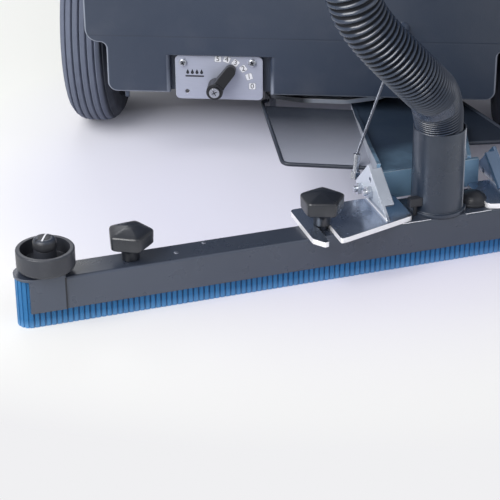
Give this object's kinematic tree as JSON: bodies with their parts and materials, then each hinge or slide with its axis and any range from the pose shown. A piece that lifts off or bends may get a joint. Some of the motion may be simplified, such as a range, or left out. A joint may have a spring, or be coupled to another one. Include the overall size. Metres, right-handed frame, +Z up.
{
  "type": "walk-behind floor scrubber",
  "caption": "Walk-behind floor scrubber-dryer with disc brushes, a swinging squeegee on a lifting arm, a ribbed suction hose, a recovery tank and a control console.",
  "frame": {"origin": "on the floor, at the middle of the outline seen from above", "axes": "+Y forward, +X to the operator's right, +Z up"},
  "size_m": [0.817, 1.0824, 1.027],
  "materials": {
    "body_plastic": "moulded, satin",
    "console_plastic": "fine grain",
    "panel": "smooth sheet",
    "dial_sheet": "brushed sheet",
    "zinc_steel": "zinc plated",
    "wing_sheet": "galvanised, matte",
    "bright_steel": "plain",
    "dark_steel": "black powder coat",
    "motor_case": "satin",
    "tyre_rubber": "grey-black",
    "wheel_plastic": "moulded",
    "black_plastic": "fine grain",
    "button_plastic": "moulded",
    "bar_metal": "dark grey coat",
    "blade_rubber": "ribbed blue",
    "soft_rubber": "matte",
    "hose_plastic": "ribbed",
    "brush_fibre": "stiff fibre",
    "battery_case": "moulded"
  },
  "bodies": {
    "machine": {"lower_body": "body_plastic", "chassis_frame": "dark_steel", "drive_motors": "motor_case", "chassis_pins": "zinc_steel", "dial_plate": "dial_sheet", "dial_fasteners": "bright_steel", "recovery_tank": "body_plastic", "lid_seal": "soft_rubber", "console": "console_plastic", "control_panel": "panel", "handle_bar": "dark_steel", "grips": "soft_rubber", "hinge_pins": "bright_steel", "batteries": "battery_case", "vacuum_motor": "motor_case", "vacuum_hose_upper": "hose_plastic", "lift_cable_upper": "bright_steel"},
    "left_wheel": {"left_tyre": "tyre_rubber", "left_rim": "wheel_plastic"},
    "right_wheel": {"right_tyre": "tyre_rubber", "right_rim": "wheel_plastic"},
    "left_castor": {"left_castor_fork": "dark_steel"},
    "right_castor": {"right_castor_fork": "dark_steel"},
    "left_castor_roller": {"left_castor_wheel": "wheel_plastic"},
    "right_castor_roller": {"right_castor_wheel": "wheel_plastic"},
    "dial": {"dial_lever": "black_plastic"},
    "filler": {"filler_cap": "console_plastic"},
    "lid": {"tank_lid": "body_plastic"},
    "key": {"key_switch": "black_plastic"},
    "brush_switch": {"brush_button": "button_plastic"},
    "vacuum_switch": {"vacuum_button": "button_plastic"},
    "presence": {"presence_bar": "dark_steel"},
    "squeegee_hand_lever": {"squeegee_lever": "dark_steel"},
    "deck_hand_lever": {"deck_lever": "dark_steel"},
    "deck": {"deck_housing": "console_plastic", "deck_skirt": "soft_rubber", "brush_motors": "motor_case"},
    "left_brush_disc": {"left_brush": "brush_fibre"},
    "right_brush_disc": {"right_brush": "brush_fibre"},
    "swing": {"swing_plate": "zinc_steel", "hose_coupling": "hose_plastic", "vacuum_hose_lower": "hose_plastic", "lift_cable_lower": "bright_steel"},
    "squeegee": {"swing_arm": "zinc_steel", "squeegee_brackets": "zinc_steel", "bracket_fasteners": "bright_steel", "stay_rods": "dark_steel", "wing_sheets": "wing_sheet", "squeegee_bar": "bar_metal", "rear_blade": "blade_rubber", "front_blade": "blade_rubber", "end_caps": "bar_metal", "squeegee_studs": "bright_steel", "suction_cuff": "bar_metal"},
    "left_guide": {"left_roller": "black_plastic"},
    "right_guide": {"right_roller": "black_plastic"},
    "left_outer_star": {"left_outer_knob": "black_plastic"},
    "left_inner_star": {"left_inner_knob": "black_plastic"},
    "right_inner_star": {"right_inner_knob": "black_plastic"},
    "right_outer_star": {"right_outer_knob": "black_plastic"}
  },
  "joints": [
    {"name": "left_wheel_spin", "type": "hinge", "parent": "machine", "child": "left_wheel", "pos_m": [-0.34351, -0.04383, 0.115], "axis": [1, 0, 0], "continuous": true},
    {"name": "right_wheel_spin", "type": "hinge", "parent": "machine", "child": "right_wheel", "pos_m": [0.11049, -0.04383, 0.115], "axis": [1, 0, 0], "continuous": true},
    {"name": "left_castor_swivel", "type": "hinge", "parent": "machine", "child": "left_castor", "pos_m": [-0.26651, 0.13117, 0.12], "axis": [0, 0, 1], "continuous": true},
    {"name": "right_castor_swivel", "type": "hinge", "parent": "machine", "child": "right_castor", "pos_m": [0.03349, 0.13117, 0.12], "axis": [0, 0, 1], "continuous": true},
    {"name": "left_castor_spin", "type": "hinge", "parent": "left_castor", "child": "left_castor_roller", "pos_m": [-0.26651, 0.10517, 0.04], "axis": [1, 0, 0], "continuous": true},
    {"name": "right_castor_spin", "type": "hinge", "parent": "right_castor", "child": "right_castor_roller", "pos_m": [0.03349, 0.10517, 0.04], "axis": [1, 0, 0], "continuous": true},
    {"name": "dial_turn", "type": "hinge", "parent": "machine", "child": "dial", "pos_m": [-0.20201, -0.18583, 0.0922], "axis": [0, -1, 0], "range_deg": [-50, 35]},
    {"name": "filler_cap_turn", "type": "hinge", "parent": "machine", "child": "filler", "pos_m": [-0.23651, 0.48117, 0.434], "axis": [0, 0, 1], "range_deg": [0, 90]},
    {"name": "lid_open", "type": "hinge", "parent": "machine", "child": "lid", "pos_m": [-0.11651, 0.42517, 0.7095], "axis": [-1, 0, 0], "range_deg": [0, 80]},
    {"name": "key_turn", "type": "hinge", "parent": "machine", "child": "key", "pos_m": [-0.22151, -0.32283, 0.972], "axis": [0, -0.3624, 0.932], "range_deg": [0, 90]},
    {"name": "brush_button_press", "type": "slide", "parent": "machine", "child": "brush_switch", "axis": [0, 0.3624, -0.932], "range_m": [0, 0.003], "stiffness_N_per_m": 300, "springref_m": -0.002},
    {"name": "vacuum_button_press", "type": "slide", "parent": "machine", "child": "vacuum_switch", "axis": [0, 0.3624, -0.932], "range_m": [0, 0.003], "stiffness_N_per_m": 300, "springref_m": -0.002},
    {"name": "presence_bar_squeeze", "type": "hinge", "parent": "machine", "child": "presence", "pos_m": [-0.11651, -0.38083, 0.968], "axis": [1, 0, 0], "range_deg": [0, 18], "stiffness_Nm_per_rad": 0.8, "springref_deg": -34.38},
    {"name": "brush_deck_lift", "type": "hinge", "parent": "machine", "child": "deck", "pos_m": [-0.11651, 0.20317, 0.122], "axis": [1, 0, 0], "range_deg": [0, 8]},
    {"name": "left_brush_spin", "type": "hinge", "parent": "deck", "child": "left_brush_disc", "pos_m": [-0.25651, 0.37117, 0.06], "axis": [0, 0, 1], "continuous": true},
    {"name": "right_brush_spin", "type": "hinge", "parent": "deck", "child": "right_brush_disc", "pos_m": [0.02349, 0.37117, 0.06], "axis": [0, 0, 1], "continuous": true},
    {"name": "squeegee_swing", "type": "hinge", "parent": "machine", "child": "swing", "pos_m": [-0.11651, -0.02043, 0.09], "axis": [0, 0, 1], "range_deg": [-49, 2.9], "deforming": ["vacuum_hose_upper", "lift_cable_upper"]},
    {"name": "squeegee_lift", "type": "hinge", "parent": "swing", "child": "squeegee", "pos_m": [-0.07217, -0.12437, 0.0655], "axis": [-0.9198, -0.3923, 0], "range_deg": [0, 4.5], "deforming": ["vacuum_hose_lower", "lift_cable_lower"]},
    {"name": "squeegee_lever_pull", "type": "hinge", "parent": "machine", "child": "squeegee_hand_lever", "pos_m": [0.07149, -0.29083, 0.905], "axis": [-1, 0, 0], "range_deg": [0, 50]},
    {"name": "deck_lever_pull", "type": "hinge", "parent": "machine", "child": "deck_hand_lever", "pos_m": [-0.30451, -0.29083, 0.905], "axis": [-1, 0, 0], "range_deg": [0, 50]},
    {"name": "left_roller_spin", "type": "hinge", "parent": "squeegee", "child": "left_guide", "pos_m": [-0.31806, -0.51517, 0.06], "axis": [0, 0, 1], "continuous": true},
    {"name": "right_roller_spin", "type": "hinge", "parent": "squeegee", "child": "right_guide", "pos_m": [0.38009, -0.21739, 0.06], "axis": [0, 0, 1], "continuous": true},
    {"name": "left_outer_knob_turn", "type": "hinge", "parent": "squeegee", "child": "left_outer_star", "pos_m": [-0.24808, -0.48424, 0.06], "axis": [0, 0, 1], "continuous": true},
    {"name": "left_inner_knob_turn", "type": "hinge", "parent": "squeegee", "child": "left_inner_star", "pos_m": [-0.08206, -0.41342, 0.065], "axis": [0, 0, 1], "continuous": true},
    {"name": "right_inner_knob_turn", "type": "hinge", "parent": "squeegee", "child": "right_inner_star", "pos_m": [0.1433, -0.3173, 0.065], "axis": [0, 0, 1], "continuous": true},
    {"name": "right_outer_knob_turn", "type": "hinge", "parent": "squeegee", "child": "right_outer_star", "pos_m": [0.30933, -0.24648, 0.06], "axis": [0, 0, 1], "continuous": true}
  ],
  "couplings": [
    {"joint": "squeegee_lever_pull", "follows": "squeegee_lift", "ratio": 11},
    {"joint": "deck_lever_pull", "follows": "brush_deck_lift", "ratio": 6}
  ]
}
